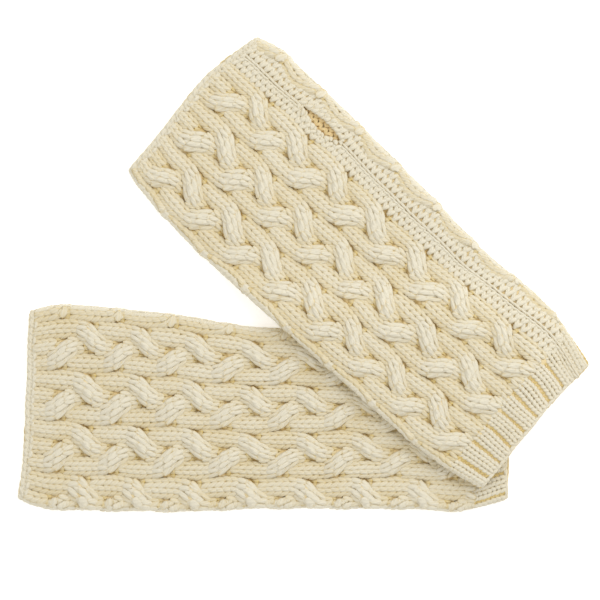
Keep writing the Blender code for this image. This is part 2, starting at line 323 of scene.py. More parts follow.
for mitten in (upper, lower):
    edges = lines_round(mitten, np.array([MIDWAY]))[:, 0]
    print(mitten.name, "columns are", (-np.diff(edges)).round(1), "mm wide")

# %% The strands of a plait
STRANDS = 3
HALF_CROSSING = 8.0


def plan_plait(count):
    """For each crossing, the place each strand leaves, the place it goes to, and its part.

    Places are 0, 1 and 2 across the column. The part is 1 for over, -1 for under, 0 for rest.
    """
    places, rows = [0, 1, 2], []
    for crossing in range(count):
        side = 0 if crossing % 2 == 0 else 2
        goes = [1 if p == side else side if p == 1 else p for p in places]
        part = [1 if p == side else -1 if p == 1 else 0 for p in places]
        rows.append((places, goes, part))
        places = goes
    return np.array(rows, float)


def crossing_edges(mitten):
    """Where one crossing of the plait ends and the next begins."""
    places = mitten.crossings
    start, end = places[0] - HALF_CROSSING, places[-1] + HALF_CROSSING
    return np.concatenate([[start], (places[1:] + places[:-1]) / 2, [end]])


PLAN = plan_plait(len(upper.crossings))
OVER_QUICK = 1.05  # a strand that passes over takes nearly all the rows of its crossing
UNDER_QUICK = 3.6  # one that passes under does it out of sight, in a row or so


def strand_at(mitten, along, strand):
    """(place across the column, over, under, rest) of one strand, the last three from 0 to 1."""
    edges = crossing_edges(mitten)
    i = np.clip(np.searchsorted(edges, along, side="right") - 1, 0, len(edges) - 2)
    t = np.clip((along - edges[i]) / (edges[i + 1] - edges[i]), 0, 1)
    t = np.where(i == 0, 1.0, t)  # the plait lies straight beside the cast-off edge
    leaves, goes, part = PLAN[i, 0, strand], PLAN[i, 1, strand], PLAN[i, 2, strand]
    quick = np.where(part > 0, OVER_QUICK, UNDER_QUICK)
    place = leaves + (goes - leaves) * smooth((t - 0.5) * quick + 0.5)
    swell = np.sin(math.pi * t) ** 2
    return place, swell**0.7 * (part > 0), swell**4 * (part < 0), swell * (part == 0)


print("parts of strand 0 at the first crossings:", PLAN[:6, 2, 0])

# %% How high the plait stands
REST_HEIGHT = 1.1  # a strand at rest, at its middle, above the plain face
OVER = 3.3  # how much higher a strand rides where it passes over
UNDER = 2.4
WIDER = 0.2  # a strand at rest or on top spreads into the room that the others leave
UNEVEN = 0.3
REST_BULGE = 1.5
OVER_BULGE = 1.9
HIDDEN_SHARE = 0.19  # the side that lies down is pressed to this share of its relief
STRETCHED = 0.5  # and on a fold it is stretched flatter by this share
FAR_STRETCHED = 0.6  # the fold away from the thumb is pulled tighter, and the fabric beside it too
FAR_REACH = 8.0
THUMB_STRETCHED = 0.3
THUMB_REACH = 5.0
PRESSED = 0.84  # the hidden side lies this much lower
CARRYING = 0.45  # the lower mitten's relief is less by this share under the upper one
CARRYING_REACH = 6.0


def strand_shape(mitten, along, column, strand, held=None):
    """Middle and half width round the tube, height at the middle, and bulge, of a strand.

    held, where it is a number, is the place across the column that the strand keeps to.
    """
    lines = lines_round(mitten, along)
    high, low = lines[column], lines[column + 1]
    place, over, under, rest = strand_at(mitten, along, strand)
    third = (high - low) / STRANDS
    middle = high - (place + 0.5) * third
    before, after = (strand_at(mitten, along + way, strand)[0] for way in (-1, 1))
    slope = (after - before) * third / 2
    if held is not None:
        middle = np.where(np.isnan(held), middle, high - (held + 0.5) * third)
        slope = np.where(np.isnan(held), slope, 0.0)
    half = third / 2 * (1 + WIDER * (rest + over)) * np.sqrt(1 + slope**2)
    rides = REST_HEIGHT + OVER * over - UNDER * under
    rides = rides + UNEVEN * np.sin(along / 10.7 + 2.3 * column + 1.7 * strand)
    return middle, half, rides, REST_BULGE + OVER_BULGE * over


def pressed(mitten, along, around, raw):
    """Relief as it lies: whole where it shows, and flattened where it rests or carries weight."""
    light = daylight(mitten, along, around)
    share = (HIDDEN_SHARE + (1 - HIDDEN_SHARE) * light) * (1 - STRETCHED * 4 * light * (1 - light))
    far, thumb, whole = fold_starts(mitten, along)
    for start, arc, stretched, reach in (
        (far, FOLD_ARC, FAR_STRETCHED, FAR_REACH), (thumb, -FOLD_ARC, THUMB_STRETCHED, THUMB_REACH),
    ):
        off_middle = np.abs(np.mod(around - start + (whole + arc) / 2, whole) - whole / 2)
        share = share * (1 - stretched * (1 - smooth((off_middle - FOLD_ARC / 2) / reach)))
    if not mitten.drapes:
        across = section(mitten, along, around, 0.0)[0]
        away = beyond(upper, *from_table(upper, *to_table(mitten, along, across)))
        share = share * (1 - CARRYING * (1 - smooth(away / CARRYING_REACH)))
    return raw * share - PRESSED * (1 - light)


def relief(mitten, along, around):
    """Height of the top of the plaited fabric at any place."""
    lines = lines_round(mitten, along)
    whole = fold_starts(mitten, along)[2]
    run = lines[0] - np.mod(lines[0] - around, whole)
    top = np.zeros_like(run)
    for column in range(COLUMNS):
        inside = (run <= lines[column]) & (run > lines[column + 1])
        best = np.full_like(run, -1.0)
        for strand in range(STRANDS):
            middle, half, rides, bulge = strand_shape(mitten, along, column, strand)
            u = (run - middle) / half
            height = rides - bulge * u * u * (1 + u * u)
            best = np.where(np.abs(u) < 1.0, np.maximum(best, height), best)
        top = np.where(inside, best, top)
    return pressed(mitten, along, around, top)


print("relief across a column:", relief(upper, np.full(7, 66.8), np.linspace(30, 0, 7)).round(1))

# %% [markdown]
# ## Yarn pieces with Geometry Nodes
#
# A knit stitch shows as a V. Each arm of the V is a short, plump piece of yarn that rises out of
# the stitch below, swells, and dives behind the stitch above. One small shape therefore makes
# the whole fabric. A mesh of bare points carries where each arm goes, and the tree puts the
# shape on every point, bowed to the left or to the right where a piece asks for a bow, then
# turns the instances into a plain mesh. The tree also stores where each bit of surface is on its
# yarn, for the twist and for the painted shade down the sides of the yarn in the wool's material.

# %% Helpers to write a node tree
def add(tree, kind, settings=None, output=None, **wires):
    """A new node. Each wire is a value or another node's output for the input of that name."""
    node = tree.nodes.new(kind)
    for key, value in (settings or {}).items():
        setattr(node, key, value)
    for key, value in wires.items():
        name = key.replace("_", " ")
        found = [s for s in node.inputs if s.name == name and s.enabled]
        values = value if isinstance(value, list) else [value]
        for socket, one in zip(found, values):
            if isinstance(one, bpy.types.NodeSocket):
                tree.links.new(one, socket)
            elif one is not None:
                socket.default_value = one
    return node.outputs[output] if output else next(s for s in node.outputs if s.enabled)


def set_inputs(node, **values):
    for key, value in values.items():
        node.inputs[key.replace("_", " ")].default_value = value


def math_node(tree, operation, *values):
    return add(tree, "ShaderNodeMath", {"operation": operation}, Value=list(values))


def vector_node(tree, operation, *vectors, **wires):
    settings = {"operation": operation}
    return add(tree, "ShaderNodeVectorMath", settings, Vector=list(vectors), **wires)


def new_tree(name, inputs):
    """An empty geometry tree with named inputs of each kind, and its input sockets by name."""
    tree = bpy.data.node_groups.new(name, "GeometryNodeTree")
    tree.interface.new_socket(name="Geometry", in_out="OUTPUT", socket_type="NodeSocketGeometry")
    for kind, values in {"Geometry": {"Geometry": None}, **inputs}.items():
        for label, value in values.items():
            kind_name = "NodeSocket" + kind
            socket = tree.interface.new_socket(name=label, in_out="INPUT", socket_type=kind_name)
            if value is not None:
                socket.default_value = value
    entry = tree.nodes.new("NodeGroupInput")
    return tree, {socket.name: socket for socket in entry.outputs}


# %% The tree that lays yarn
def yarn_arm(tree, given, side):
    """One arm of a stitch, from 0 to 1 along X, bowed to one side, with both ends dipped."""

    def calc(operation, *values):
        return math_node(tree, operation, *values)

    def store(geometry, name, value, kind="FLOAT"):
        return add(
            tree, "GeometryNodeStoreNamedAttribute", {"data_type": kind, "domain": "POINT"},
            Geometry=geometry, Name=name, Value=value,
        )

    line = add(tree, "GeometryNodeCurvePrimitiveLine", Start=(0, 0, 0), End=(1, 0, 0))
    line = add(tree, "GeometryNodeResampleCurve", Curve=line, Count=given["Points"])
    share = add(tree, "GeometryNodeSplineParameter")
    u = calc("MULTIPLY_ADD", share, 2.0, -1.0)
    square = calc("MULTIPLY", u, u)
    bow = calc("MULTIPLY", calc("SUBTRACT", 1.0, square), given["Bow"])
    cube = calc("ABSOLUTE", calc("MULTIPLY", square, u))
    dip = calc("MULTIPLY", calc("MULTIPLY", cube, -1.0), given["Dip"])
    offset = add(tree, "ShaderNodeCombineXYZ", Y=calc("MULTIPLY", bow, side), Z=dip)
    length = add(tree, "ShaderNodeCombineXYZ", X=given["Arm length"], Y=1.0, Z=1.0)
    position = add(tree, "GeometryNodeInputPosition")
    place = vector_node(tree, "ADD", vector_node(tree, "MULTIPLY", position, length), offset)
    line = store(line, "yarn_along", share)
    line = add(tree, "GeometryNodeSetPosition", Geometry=line, Position=place)
    radius = given["Yarn radius"]
    ring = add(tree, "GeometryNodeCurvePrimitiveCircle", Resolution=given["Sides"], Radius=radius)
    ring = store(ring, "yarn_round", vector_node(tree, "NORMALIZE", position), "FLOAT_VECTOR")
    taper = calc("MULTIPLY", calc("MULTIPLY", square, square), given["Taper"])
    arm = add(
        tree, "GeometryNodeCurveToMesh", Curve=line, Profile_Curve=ring, Fill_Caps=True,
        Scale=calc("SUBTRACT", 1.0, taper),
    )
    level = add(tree, "ShaderNodeSeparateXYZ", {}, "Z", Vector=position)
    # how far down the side of the arm a place lies, for painted shade there in the wool
    depth = calc("DIVIDE", calc("SUBTRACT", radius, level), calc("ADD", radius, given["Dip"]))
    return store(arm, "yarn_depth", depth)


def yarn_tree():
    """Lays a yarn arm on every point, turned and sized by the point's own attributes."""
    tree, given = new_tree("Yarn arms", {
        "Float": {
            "Yarn radius": 1.25 * MM, "Arm length": 5.0 * MM, "Bow": 0.35 * MM, "Dip": 1.0 * MM,
            "Taper": 0.4, "Unevenness": 0.06,
        },
        "Int": {"Points": 6, "Sides": 6, "Seed": 1},
        "Material": {"Yarn": None},
    })
    arms = tree.nodes.new("GeometryNodeJoinGeometry")
    for side in (1.0, -1.0):  # the arm that is joined first becomes instance 1, the other 0
        one = add(tree, "GeometryNodeGeometryToInstance", Geometry=yarn_arm(tree, given, side))
        tree.links.new(one, arms.inputs[0])
    turn, size, side = (
        add(tree, "GeometryNodeInputNamedAttribute", {"data_type": kind}, Name=name)
        for name, kind in (("turn", "FLOAT_VECTOR"), ("size", "FLOAT_VECTOR"), ("side", "INT"))
    )
    low, high = (
        vector_node(tree, "SCALE", (1, 1, 1), Scale=math_node(tree, way, 1.0, given["Unevenness"]))
        for way in ("SUBTRACT", "ADD")
    )
    chance = add(
        tree, "FunctionNodeRandomValue", {"data_type": "FLOAT_VECTOR"},
        Min=low, Max=high, Seed=given["Seed"],
    )
    mesh = add(
        tree, "GeometryNodeInstanceOnPoints", Points=given["Geometry"], Instance=arms.outputs[0],
        Pick_Instance=True, Instance_Index=side, Scale=vector_node(tree, "MULTIPLY", size, chance),
        Rotation=add(tree, "FunctionNodeEulerToRotation", Euler=turn),
    )
    mesh = add(tree, "GeometryNodeRealizeInstances", Geometry=mesh)
    mesh = add(tree, "GeometryNodeSetShadeSmooth", Geometry=mesh)
    mesh = add(tree, "GeometryNodeSetMaterial", Geometry=mesh, Material=given["Yarn"])
    tree.links.new(mesh, tree.nodes.new("NodeGroupOutput").inputs[0])
    return tree


YARN_TREE = yarn_tree()
print("nodes in the yarn tree:", len(YARN_TREE.nodes))

# %% Points that carry their own turn and size
def euler_of(x_axis, z_axis):
    """The turns about X, Y and Z that point a shape's X and Z along two unit directions."""
    y_axis = np.cross(z_axis, x_axis)
    return np.stack([
        np.arctan2(y_axis[:, 2], z_axis[:, 2]),
        np.arcsin(np.clip(-x_axis[:, 2], -1, 1)),
        np.arctan2(x_axis[:, 1], x_axis[:, 0]),
    ], -1)


def unit(vectors):
    return vectors / np.maximum(np.linalg.norm(vectors, axis=-1, keepdims=True), 1e-9)


def in_scene(name, data):
    """A new object in the scene, at the origin."""
    thing = bpy.data.objects.new(name, data)
    bpy.context.scene.collection.objects.link(thing)
    return thing


# %% Arms gathered for a piece
class Arms:
    """Yarn arms gathered for one piece: where each starts and ends, and which way is up."""

    def __init__(self):
        self.laid = []

    def lay(self, start, end, up, bow_to, wide, tall, shade):
        """Arms, wide and tall as shares of the yarn, shade from 0 in the open to 1 in a hollow."""
        sizes = [np.broadcast_to(value, len(start)) for value in (wide, tall, shade)]
        self.laid.append((start, end, up, bow_to, np.stack(sizes, -1)))

    def piece(self, name, material, **inputs):
        """Runs the yarn tree on the gathered arms and keeps the result as a plain mesh."""
        start, end, up, bow_to, sizes = (np.concatenate(values) for values in zip(*self.laid))
        chance = np.random.default_rng(len(start))  # the same on every run
        start = start + chance.normal(0, STRAY, start.shape)
        end = end + chance.normal(0, STRAY, end.shape)
        way = unit(end - start)
        up = unit(up - way * np.sum(up * way, -1, keepdims=True))
        side = (np.sum(np.cross(up, way) * bow_to, -1) > 0).astype(np.int32)
        length = np.linalg.norm(end - start, axis=-1) / ARM_LENGTH
        mesh = bpy.data.meshes.new(name)
        mesh.from_pydata((start * MM).tolist(), [], [])
        for label, kind, field, values in (
            ("turn", "FLOAT_VECTOR", "vector", euler_of(way, up)),
            ("size", "FLOAT_VECTOR", "vector", np.column_stack([length, sizes[:, :2]])),
            ("side", "INT", "value", side),
            ("shade", "FLOAT", "value", sizes[:, 2]),
        ):
            mesh.attributes.new(label, kind, "POINT").data.foreach_set(field, values.ravel())
        maker = in_scene(name + "_maker", mesh)
        modifier = maker.modifiers.new("Yarn", "NODES")
        modifier.node_group = YARN_TREE
        inputs.update({"Yarn": material, "Arm length": ARM_LENGTH * MM})
        for socket in YARN_TREE.interface.items_tree:
            if socket.in_out == "INPUT" and socket.name in inputs:
                modifier[socket.identifier] = inputs[socket.name]
        evaluated = maker.evaluated_get(bpy.context.evaluated_depsgraph_get())
        made = bpy.data.meshes.new_from_object(evaluated)
        made.name = name
        bpy.data.objects.remove(maker)
        if not made.materials:
            made.materials.append(material)
        triangles = sum(len(face.vertices) - 2 for face in made.polygons)
        print(name, len(start), "arms,", triangles, "triangles")
        return in_scene(name, made)


ARM_LENGTH = 5.0
STRAY = 0.10  # how far the ends of an arm stray from the even pattern

# %% [markdown]
# ## The wool
#
# Undyed Aran wool is cream, not white, and the light that bounces about in its hollows comes back
# warmer. One base colour didn't give enough of that, so places far down between the pieces of yarn
# and down their sides take a second, deeper one: painted shade. Both were tuned against the
# photograph. The twist of the plies is a bump that winds round each piece of yarn, with painted
# shade in the grooves between them, and a finer noise stands for the loose fibres. Sheen lightens
# the fibres that are seen edge on.

# %% The wool material
TWIST_PER_ARM = 2.2  # radians that the plies wind along an arm
PLIES = 5.0  # ridges round the yarn
PLY_SHADE = -0.08  # painted shade in the grooves between them


def wool(name, colour, shade_colour, twist=1.0):
    """Wool of one colour in the open, painted shade of a deeper one in hollows, plies wound round.
    """
    material = bpy.data.materials.new(name)
    material.use_nodes = True
    tree = material.node_tree
    shader = tree.nodes["Principled BSDF"]
    sheen = {"Sheen_Weight": 0.2, "Sheen_Roughness": 0.5}
    set_inputs(shader, Roughness=0.9, Specular_IOR_Level=0.15, **sheen)

    def carried(label, output="Fac"):
        return add(tree, "ShaderNodeAttribute", {"attribute_name": label}, output)

    place = add(tree, "ShaderNodeTexCoord", output="Object")
    patches = add(tree, "ShaderNodeTexNoise", Vector=place, Scale=60.0, Detail=3.0)
    fibres = add(tree, "ShaderNodeTexNoise", Vector=place, Scale=1400.0, Detail=4.0, Roughness=0.7)
    # painted shade: the lower sides of each piece of yarn and places marked with shade take the
    # deeper colour; the two noises vary the tone at random
    amount = add(
        tree, "ShaderNodeMapRange", {"interpolation_type": "SMOOTHSTEP"},
        Value=carried("yarn_depth"), From_Min=0.25, From_Max=0.95, To_Min=0.0, To_Max=0.55,
    )
    for cause, share in ((fibres, 0.5), (patches, 0.35), (carried("shade"), 0.9)):
        amount = math_node(tree, "MULTIPLY_ADD", cause, share, amount)
    amount = math_node(tree, "SUBTRACT", amount, 0.40)
    split = add(tree, "ShaderNodeSeparateXYZ", Vector=carried("yarn_round", "Vector")).node
    angle = math_node(tree, "ARCTAN2", split.outputs["Y"], split.outputs["X"])
    wind = math_node(tree, "MULTIPLY_ADD", carried("yarn_along"), TWIST_PER_ARM, angle)
    wave = math_node(tree, "SINE", math_node(tree, "MULTIPLY", wind, PLIES))
    amount = math_node(tree, "MULTIPLY_ADD", wave, PLY_SHADE * twist, amount)
    settings = {"data_type": "RGBA", "clamp_factor": True}
    mixed = add(tree, "ShaderNodeMix", settings, Factor=amount, A=(*colour, 1), B=(*shade_colour, 1))
    tree.links.new(mixed, shader.inputs["Base Color"])
    bump = {"Strength": 0.3, "Distance": 0.4 * MM}
    plies = add(tree, "ShaderNodeBump", **{**bump, "Strength": 0.3 * twist}, Height=wave)
    fuzz = add(tree, "ShaderNodeBump", **bump, Height=fibres, Normal=plies)
    tree.links.new(fuzz, shader.inputs["Normal"])
    return material


CREAM = (0.80, 0.74, 0.585)
# painted shade: the colour that hollows and the lower sides of the yarn take
PAINTED_SHADE = (0.67, 0.49, 0.15)
plait_wool = wool("plait wool", CREAM, PAINTED_SHADE)
purl_wool = wool("purl wool", CREAM, PAINTED_SHADE)
seam_wool = wool("seam wool", CREAM, PAINTED_SHADE)
rib_wool = wool("rib wool", CREAM, PAINTED_SHADE)
# painted shade: the cloth behind the stitches is ochre for the gaps between them, deeper still where
# it lies low
ground_shade_wool = wool("ground shade wool", (0.84, 0.69, 0.40), (0.58, 0.39, 0.13), twist=0.0)
# painted light and shade: a brighter ochre for the slit's hollow, where light comes through the wool
inside_light_shade_wool = wool("inside light and shade wool", (0.88, 0.72, 0.41), (0.78, 0.55, 0.23))
print("materials:", [m.name for m in bpy.data.materials if "wool" in m.name])

# %% [markdown]
# ## The plait stitches
#
# Every strand is two stitches wide, so it has four lines of arms. Rows are counted four to a
# crossing, as a knitter would. On a strand that passes over, the arms are pulled long and lie
# nearly straight, and the strand is rounder; at rest they open into plain Vs.

# %% Stitch rows and plait arms
YARN = 1.25  # radius
ROWS_PER_CROSSING = 4
BODY_START = BORDER - 2.2
ARM_BACK = 0.72  # an arm starts this many rows before its stitch, and ends this many after
ARM_AHEAD = 0.66
OVER_BACK = 0.30  # on a strand that passes over, it is longer by so many rows
OVER_AHEAD = 0.25
GONE_UNDER = 0.3  # past this share of its way down, a strand counts as under the other
UNDER_LENGTH = 0.65  # where its arms are shorter, by this factor
ARM_SINK = 0.75 * YARN  # from the tops of the stitches to the middle of the yarn
ARM_TALL = 0.78
SIDES = [(wale, side) for wale in (-1, 1) for side in (-1, 1)]  # the four lines of a strand


def body_rows(mitten):
    """Place and height of each row of stitches along the body."""
    edges = crossing_edges(mitten)
    places, heights = [], []
    for start, end in zip(edges, edges[1:]):
        step = (end - start) / ROWS_PER_CROSSING
        for k in range(ROWS_PER_CROSSING):
            places.append(start + (k + 0.5) * step)
            heights.append(step)
    places, heights = np.array(places), np.array(heights)
    kept = (places > BODY_START + 1.5) & (places < mitten.length - CUFF + 1.0)
    return places[kept], heights[kept]


def fabric_up(mitten, along, around, height, rise):
    """Unit direction out of the fabric, leaning where the height changes round the tube."""
    here, out = outward(mitten, along, around, height)
    round_way = unit(point(mitten, along, around + 0.5, height) - here)
    return unit(unit(out) - round_way * rise[:, None]), round_way


def arm_ends(mitten, rows, step, column, strand, wale, side):
    """The first and the last ends of a line of arms, each as rows of numbers.

    They are: along, around, height of the yarn, slope of the strand there, and height of its top.
    """
    place, over, under, rest = strand_at(mitten, rows, strand)
    gone = under > GONE_UNDER
    held = np.where(gone, np.round(place), np.nan)  # it goes straight in under the other
    ends = []
    for shift, longer, spread in (
        (ARM_BACK, OVER_BACK, 0.125 + 0.08 * over), (-ARM_AHEAD, -OVER_AHEAD, 0.375 - 0.10 * over),
    ):
        along = rows + (shift * np.where(gone, UNDER_LENGTH, 1.0) + longer * over) * step
        middle, half, rides, bulge = strand_shape(mitten, along, column, strand, held)
        u = wale / 2 + side * spread
        around = middle + u * half
        top = pressed(mitten, along, around, rides - bulge * u * u)
        ends.append((along, around, top - ARM_SINK, 2 * bulge * u / half, top))
    return np.array(ends)


def on_fabric(mitten, along, around, raw, down):
    """(along, around, height) so far down from a height in the relief as it lies."""
    return along, around, pressed(mitten, along, around, raw) - down


# %% Arms that go round a fold
SUNK_ON_FOLD = 0.6  # a strand that runs steeply round a fold is drawn in by this much
FOLD_PARTS = 3  # a long arm that goes round a fold is laid in so many parts
PART_OVERLAP = 0.13
PART_WIDER = 1.15
HIDDEN_LEAN = 0.3
# Painted shade: stitches that lie lower take more of the deeper colour and higher ones less, arms
# half round a fold less, and arms going under more.
FACE_SHADE = 0.36  # of a stitch that is level with the plain face
SHADE_PER_MM = 0.20
SHADE_RANGE = (-0.25, 0.6)
FOLD_SHADE = 3.0
UNDER_SHADE = 0.3


def lay_in_parts(arms, mitten, first, last, parts, side, wide, shade):
    """Arms between ends as arm_ends gives them, in parts that overlap."""
    way = last - first
    for k in range(parts):
        start = first + way * max(k / parts - PART_OVERLAP, 0)
        end = first + way * min((k + 1) / parts + PART_OVERLAP, 1)
        along, around, height, slope, top = (start + end) / 2
        light = daylight(mitten, along, around)
        if parts > 1:
            for spot in (start, end):
                spot[2] -= SUNK_ON_FOLD * 4 * light * (1 - light)
        lean = -slope * (HIDDEN_LEAN + (1 - HIDDEN_LEAN) * light)
        up, round_way = fabric_up(mitten, along, around, height, lean)
        # painted shade by the height of the stitch, less on a fold, plus what the caller adds
        depth_shade = np.clip(FACE_SHADE - SHADE_PER_MM * top, *SHADE_RANGE)
        arms.lay(
            point(mitten, *start[:3]), point(mitten, *end[:3]), up, round_way * side,
            wide, ARM_TALL, depth_shade - FOLD_SHADE * light * (1 - light) + shade,
        )


def plait_arms(mitten, columns):
    """The arms of all the stitches in some plait columns."""
    arms = Arms()
    rows, step = body_rows(mitten)
    for column in columns:
        for strand in range(STRANDS):
            place, over, under, rest = strand_at(mitten, rows, strand)
            third = -np.diff(lines_round(mitten, rows), axis=0)[column] / STRANDS
            wide = third * (0.160 + 0.018 * rest + 0.035 * over) / YARN
            for wale, side in SIDES:
                first, last = arm_ends(mitten, rows, step, column, strand, wale, side)
                spots = (first, (first + last) / 2, last)
                turned = np.ptp([daylight(mitten, *spot[:2]) for spot in spots], axis=0)
                bent = (turned > 0.02) & (np.abs(last - first)[1] > 2.2)
                for chosen, parts, wider in ((~bent, 1, 1.0), (bent, FOLD_PARTS, PART_WIDER)):
                    lay_in_parts(
                        arms, mitten, first[:, chosen], last[:, chosen], parts, side,
                        wide[chosen] * wider, UNDER_SHADE * under[chosen],
                    )
    return arms


# %% The plait stitches of both mittens
FINE = {"Points": 5, "Sides": 6, "Bow": 0.0, "Dip": 0.5 * MM, "Taper": 0.32}
PLAIN = {"Points": 3, "Sides": 5, "Bow": 0.0, "Dip": 0.45 * MM, "Taper": 0.25}
plait = {}
for mitten, part, columns, mesh in (
    (upper, "front", [0, 1, 2], FINE), (upper, "rope", [6], FINE),
    (upper, "fold", [3], FINE), (upper, "back", [4, 5], PLAIN),
    (lower, "back", [3, 4], FINE), (lower, "rope", [5, 6], FINE),
    (lower, "fold", [2], FINE), (lower, "front", [0, 1], PLAIN),
):
    name = f"{mitten.name}_{part}_stitches"
    plait[name] = plait_arms(mitten, columns).piece(name, plait_wool, **mesh)

# %% [markdown]
# ## The ground behind the stitches
#
# Yarn pieces alone would let light through. A thin shell of cloth follows the same relief just
# below them, as the backs of the stitches do in a real knit. Its ochre colour is painted shade for
# the gaps between the stitches, deeper where it lies lower. It is a tube with the thumb slit
# left open in it: the grid of its points is cut along the slit line and drawn apart there.

# %% The shell of a mitten
GROUND_DEPTH = 1.35  # below the tops of the stitches
FOLD_DEPTH = 5.0  # and deeper on a fold, by a quarter of this half way round it
GROUND_FLOOR = -2.4
GROUND_END = 0.9  # it stops this far inside both ends
GROUND_STEP = 2.8
COUNTED_AT = 100.0  # where the columns of its grid are counted
INNER_FACE = 0.5  # from the middle of a mitten to the inside of a layer
PAINTED_SHADE_FROM = -1.15  # the cloth takes painted shade below this height
PAINTED_SHADE_GAIN = 0.8
RIB_TOP = 0.5
RIB_GROOVE = -1.3
RIB_WIDTH = 12.3  # about, for two knit stitches and one purl stitch
KNIT_SHARE = 0.85  # of a rib's width, the rest is its purl groove


def slit_line(mitten, along):
    return seam_line(mitten, along) + SLIT_ASIDE


def slit_opening(along, side):
    """How far one edge of the thumb slit (1 outer, -1 inner) stands off its line."""
    t = np.clip((along - SLIT_START) / (SLIT_END - SLIT_START), 0, 1)
    return SLIT_HALF_WIDTH * (0.8 if side > 0 else 1.35) * np.sin(math.pi * t**1.25) ** 0.8


def rib_count(mitten):
    return round(float(fold_starts(mitten, mitten.length - CUFF / 2)[2]) / RIB_WIDTH)


def fabric_top(mitten, along, around):
    """Height of the tops of the stitches anywhere on a mitten."""
    cuffed = smooth((along - (mitten.length - CUFF)) / 2.5)
    plaited = relief(mitten, along, around) * smooth((along - BORDER) / 2)
    return plaited * (1 - cuffed) + pressed(mitten, along, around, RIB_TOP - 0.6) * cuffed


def make_ground(mitten):
    """The shell: outer and inner face, rims at both ends, and a rim round the slit."""
    last = mitten.length - GROUND_END
    along = np.unique(np.concatenate([np.arange(GROUND_END, last, GROUND_STEP), [last]]))
    count = round(float(fold_starts(mitten, COUNTED_AT)[2]) / GROUND_STEP)
    a = np.repeat(along[:, None], count + 1, 1)
    r = slit_line(mitten, a) - np.linspace(0, 1, count + 1) * fold_starts(mitten, a)[2]
    split = (along > SLIT_START) & (along < SLIT_END)
    for k in range(3):  # the columns of the grid beside the slit give way to it
        for side, column in ((-1, k), (1, count - k)):
            gives_way = (slit_opening(along, side) + 0.5) * (1 - k / 3)
            r[:, column] += side * np.where(split, gives_way, 0)
    light = daylight(mitten, a, r)
    top = fabric_top(mitten, a, r) - GROUND_DEPTH - FOLD_DEPTH * light * (1 - light)
    top = np.maximum(top, GROUND_FLOOR)
    outer = point(mitten, a, r, top) * MM
    inner = point(mitten, a, r, np.full_like(r, INNER_FACE - HALF)) * MM
    mesh = bmesh.new()
    hollow = mesh.verts.layers.float.new("shade")  # painted shade: deeper places take a deeper colour
    nets = []
    for skin in (outer, inner):
        net = [[mesh.verts.new(p) for p in row[:-1]] for row in skin]
        for i, row in enumerate(net):
            row.append(mesh.verts.new(skin[i, -1]) if split[i] else row[0])
        nets.append(net)
    out, inn = nets
    for i in range(len(along) - 1):
        for k in range(count):
            mesh.faces.new((out[i][k], out[i][k + 1], out[i + 1][k + 1], out[i + 1][k]))
            mesh.faces.new((inn[i + 1][k], inn[i + 1][k + 1], inn[i][k + 1], inn[i][k]))
        if split[i] or split[i + 1]:
            for k in (0, count):
                mesh.faces.new((out[i][k], inn[i][k], inn[i + 1][k], out[i + 1][k]))
    for k in range(count):
        for i in (0, len(along) - 1):
            mesh.faces.new((out[i][k], inn[i][k], inn[i][k + 1], out[i][k + 1]))
    bmesh.ops.recalc_face_normals(mesh, faces=mesh.faces)
    for net, level in ((out, top), (inn, np.zeros_like(top))):
        for i, row in enumerate(net):
            for k, corner in enumerate(row):
                corner[hollow] = min(max((PAINTED_SHADE_FROM - level[i, k]) * PAINTED_SHADE_GAIN, 0.0), 1.0)
    data = bpy.data.meshes.new(f"{mitten.name}_ground")
    mesh.to_mesh(data)
    mesh.free()
    data.materials.append(ground_shade_wool)
    data.shade_smooth()
    print(data.name, len(data.polygons), "faces")
    return in_scene(data.name, data)


grounds = {mitten.name: make_ground(mitten) for mitten in (lower, upper)}

# %% [markdown]
# ## Purl bands, seam, slit and edges
#
# Beside the seam the fabric is turned, so that its purl side shows: the yarn runs to and fro in
# a tight zigzag. The seam is a narrow chain, and so is the cast-off round the fingers. A chain is
# Vs laid end to end, so the same arms make them all. Thick ones wrap over the edges of the slit.

# %% Helpers for Vs and zigzags
PURL_LEAN = 0.3  # of a row, from the middle of a slanting piece of purl yarn to its ends


def lay_between(arms, mitten, start, end, lateral, wide, tall, shade=0.0, inside=False):
    """Arms between two lists of (along, around, height), bowed to a lateral (along, around)."""
    along, around, height = ((a + b) / 2 for a, b in zip(start, end))
    here, out = outward(mitten, along, around, height)
    up = unit(out) * (-1 if inside else 1)
    aside = point(mitten, along + lateral[0] * 0.5, around + lateral[1] * 0.5, height)
    arms.lay(
        point(mitten, *start), point(mitten, *end), up, unit(aside - here), wide, tall, shade
    )


def lay_vs(arms, mitten, start, end, lateral, spread, wide, tall):
    """V stitches from start to end, each (along, around, height), opening to both sides.

    lateral is the (along, around) direction they open in, and spread is half their width at
    their start and end.
    """
    for side in (-1, 1):
        way = (lateral[0] * side, lateral[1] * side)
        ends = [
            (along + way[0] * apart, around + way[1] * apart, height)
            for (along, around, height), apart in zip((start, end), spread)
        ]
        lay_between(arms, mitten, *ends, way, wide, tall)


def lay_purls(arms, mitten, rows, step, low, high, height, wide, sink=0.0, **looks):
    """A purl wale: its yarn goes to and fro between two lines round the tube, twice a row.

    The yarn on its way back lies deeper by sink, so that one slant of the zigzag shows more.
    """
    for shift, start, end, sunk in ((0.0, low, high, 0.0), (0.5, high, low, sink)):
        before, after = rows + (shift - PURL_LEAN) * step, rows + (shift + PURL_LEAN) * step
        level = height - sunk
        lay_between(
            arms, mitten, (before, start, level), (after, end, level), (1 if sunk else -1, 0),
            wide, wide, **looks,
        )


